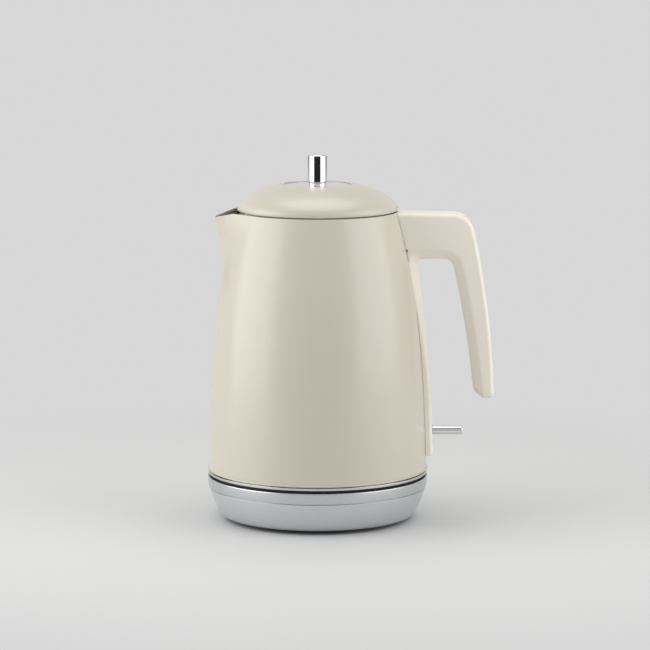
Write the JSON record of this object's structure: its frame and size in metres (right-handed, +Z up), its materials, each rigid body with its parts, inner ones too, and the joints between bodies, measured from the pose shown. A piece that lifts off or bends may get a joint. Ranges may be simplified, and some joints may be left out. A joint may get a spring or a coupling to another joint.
{
  "type": "electric kettle",
  "caption": "Cordless electric kettle with a painted tapered jug, pointed spout, open hook handle, domed pull-off lid with a knob, and a round power base.",
  "frame": {"origin": "on the kettle's axis, on the surface that the base stands on", "axes": "+Z up along the jug's axis; +X towards the handle and the switch; -X towards the spout; +Y towards the base's cord inlet"},
  "size_m": [0.2026, 0.1556, 0.2575],
  "materials": {
    "cream_paint": "gloss",
    "cream_plastic": "gloss",
    "silver_plastic": "satin",
    "satin_aluminium": "satin",
    "bright_steel": "satin",
    "chrome": "polished",
    "black_plastic": "matte",
    "white_nylon": "matte",
    "liner_plastic": "satin",
    "rubber": "matte",
    "silicone": "matte",
    "brass": "satin",
    "bimetal": "satin",
    "element_sheath": "matte",
    "zinc_steel": "satin"
  },
  "bodies": {
    "power_base": {"base_skirt": "silver_plastic", "base_trim_ring": "satin_aluminium", "base_deck": "black_plastic", "base_bottom_plate": "black_plastic", "base_foot_ring": "rubber", "base_screws": "zinc_steel", "cord_gland": "black_plastic", "base_connector": "black_plastic", "base_live_contact": "brass", "base_neutral_contact": "brass", "base_earth_contact": "brass"},
    "swivel": {"swivel_ring": "white_nylon"},
    "jug": {"jug_body": "cream_paint", "jug_trim_ring": "bright_steel", "bottom_cover": "black_plastic", "cover_screws": "zinc_steel", "floor_posts": "bright_steel", "heater_plate": "bright_steel", "floor_seal": "silicone", "heat_diffuser": "satin_aluminium", "heating_element": "element_sheath", "control_body": "black_plastic", "control_screws": "zinc_steel", "live_pin": "brass", "neutral_blade": "brass", "earth_blade": "brass", "dry_boil_discs": "bimetal", "steam_disc": "bimetal", "steam_disc_stand": "black_plastic", "steam_tube": "liner_plastic", "steam_grommet": "silicone", "mouth_ring": "bright_steel", "filter_frame": "liner_plastic", "filter_mesh": "bright_steel", "handle_frame": "cream_plastic", "handle_cap": "cream_plastic", "handle_stud": "bright_steel", "handle_screws": "zinc_steel", "switch_bracket": "black_plastic", "switch_pivot": "bright_steel"},
    "lid": {"lid_shell": "cream_paint", "lid_disc": "chrome", "lid_knob": "chrome", "knob_screw": "zinc_steel", "lid_liner": "liner_plastic", "lid_seal": "silicone", "lid_screws": "zinc_steel"},
    "switch": {"switch_lever": "black_plastic", "switch_rod": "chrome"}
  },
  "joints": [
    {"name": "jug_swivel", "type": "hinge", "parent": "power_base", "child": "swivel", "pos_m": [0, 0, 0.0305], "axis": [0, 0, 1], "continuous": true},
    {"name": "jug_lift", "type": "slide", "parent": "swivel", "child": "jug", "axis": [0, 0, 1], "range_m": [0, 0.1]},
    {"name": "lid_lift", "type": "slide", "parent": "jug", "child": "lid", "axis": [0, 0, 1], "range_m": [0, 0.06]},
    {"name": "switch_rock", "type": "hinge", "parent": "jug", "child": "switch", "pos_m": [0.0695, 0, 0.062], "axis": [0, 1, 0], "range_deg": [0, 10]}
  ]
}
